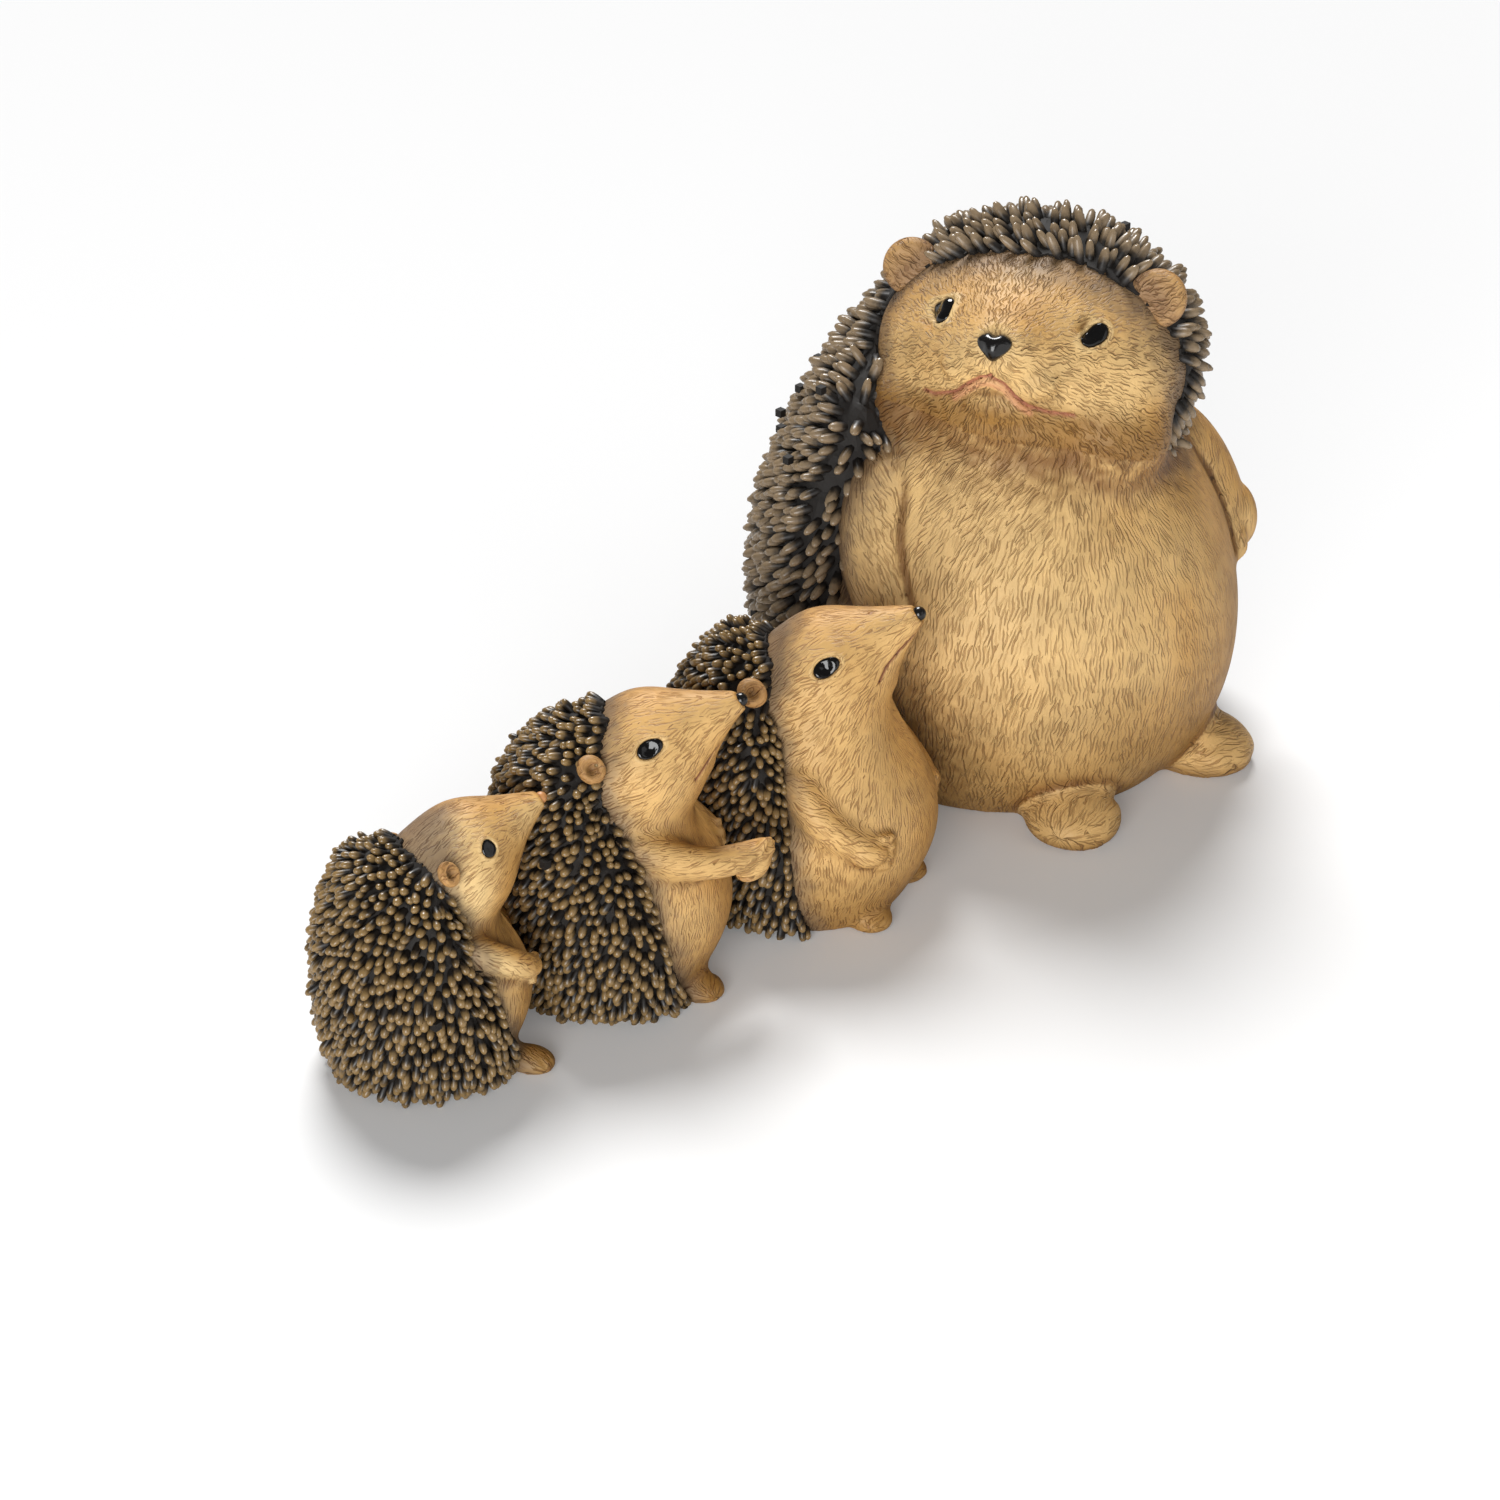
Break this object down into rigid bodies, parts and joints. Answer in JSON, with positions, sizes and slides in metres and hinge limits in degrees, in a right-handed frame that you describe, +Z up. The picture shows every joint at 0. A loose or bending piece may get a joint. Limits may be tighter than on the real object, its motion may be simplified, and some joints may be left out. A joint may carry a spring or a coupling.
{
  "type": "hedgehog figurine",
  "caption": "Cast resin hedgehog family: a seated mother looks round at her young, who sit behind her in a row; carved fur, quill coats and glossy eyes.",
  "frame": {"origin": "middle of the mother's flat underside, on the floor", "axes": "+X along the row from the youngest to the mother, -Y is the front, +Z is up"},
  "size_m": [0.2885, 0.1259, 0.1395],
  "materials": {
    "painted_fur": "cast resin painted honey brown with a dark wash in the carved fur, satin",
    "painted_quills": "cast resin painted near black, tips dry-brushed bronze, low gloss",
    "painted_ear": "cast resin painted pinkish brown, satin",
    "gloss_black": "black enamel, high gloss",
    "base_resin": "plain cast resin, matte"
  },
  "bodies": {
    "root": {"mother_torso": "painted_fur", "mother_head": "painted_fur", "mother_left_arm": "painted_fur", "mother_right_arm": "painted_fur", "mother_left_foot": "painted_fur", "mother_right_foot": "painted_fur", "mother_quill_coat": "painted_quills", "mother_left_ear": "painted_ear", "mother_right_ear": "painted_ear", "mother_left_eye": "gloss_black", "mother_right_eye": "gloss_black", "mother_nose": "gloss_black", "eldest_torso": "painted_fur", "eldest_head": "painted_fur", "eldest_left_arm": "painted_fur", "eldest_right_arm": "painted_fur", "eldest_left_foot": "painted_fur", "eldest_right_foot": "painted_fur", "eldest_quill_coat": "painted_quills", "eldest_left_ear": "painted_ear", "eldest_right_ear": "painted_ear", "eldest_left_eye": "gloss_black", "eldest_right_eye": "gloss_black", "eldest_nose": "gloss_black", "middle_torso": "painted_fur", "middle_head": "painted_fur", "middle_left_arm": "painted_fur", "middle_right_arm": "painted_fur", "middle_left_foot": "painted_fur", "middle_right_foot": "painted_fur", "middle_quill_coat": "painted_quills", "middle_left_ear": "painted_ear", "middle_right_ear": "painted_ear", "middle_left_eye": "gloss_black", "middle_right_eye": "gloss_black", "middle_nose": "gloss_black", "youngest_torso": "painted_fur", "youngest_head": "painted_fur", "youngest_left_arm": "painted_fur", "youngest_right_arm": "painted_fur", "youngest_left_foot": "painted_fur", "youngest_right_foot": "painted_fur", "youngest_quill_coat": "painted_quills", "youngest_left_ear": "painted_ear", "youngest_right_ear": "painted_ear", "youngest_left_eye": "gloss_black", "youngest_right_eye": "gloss_black", "youngest_nose": "gloss_black", "mother_base_plate": "base_resin"}
  },
  "joints": []
}
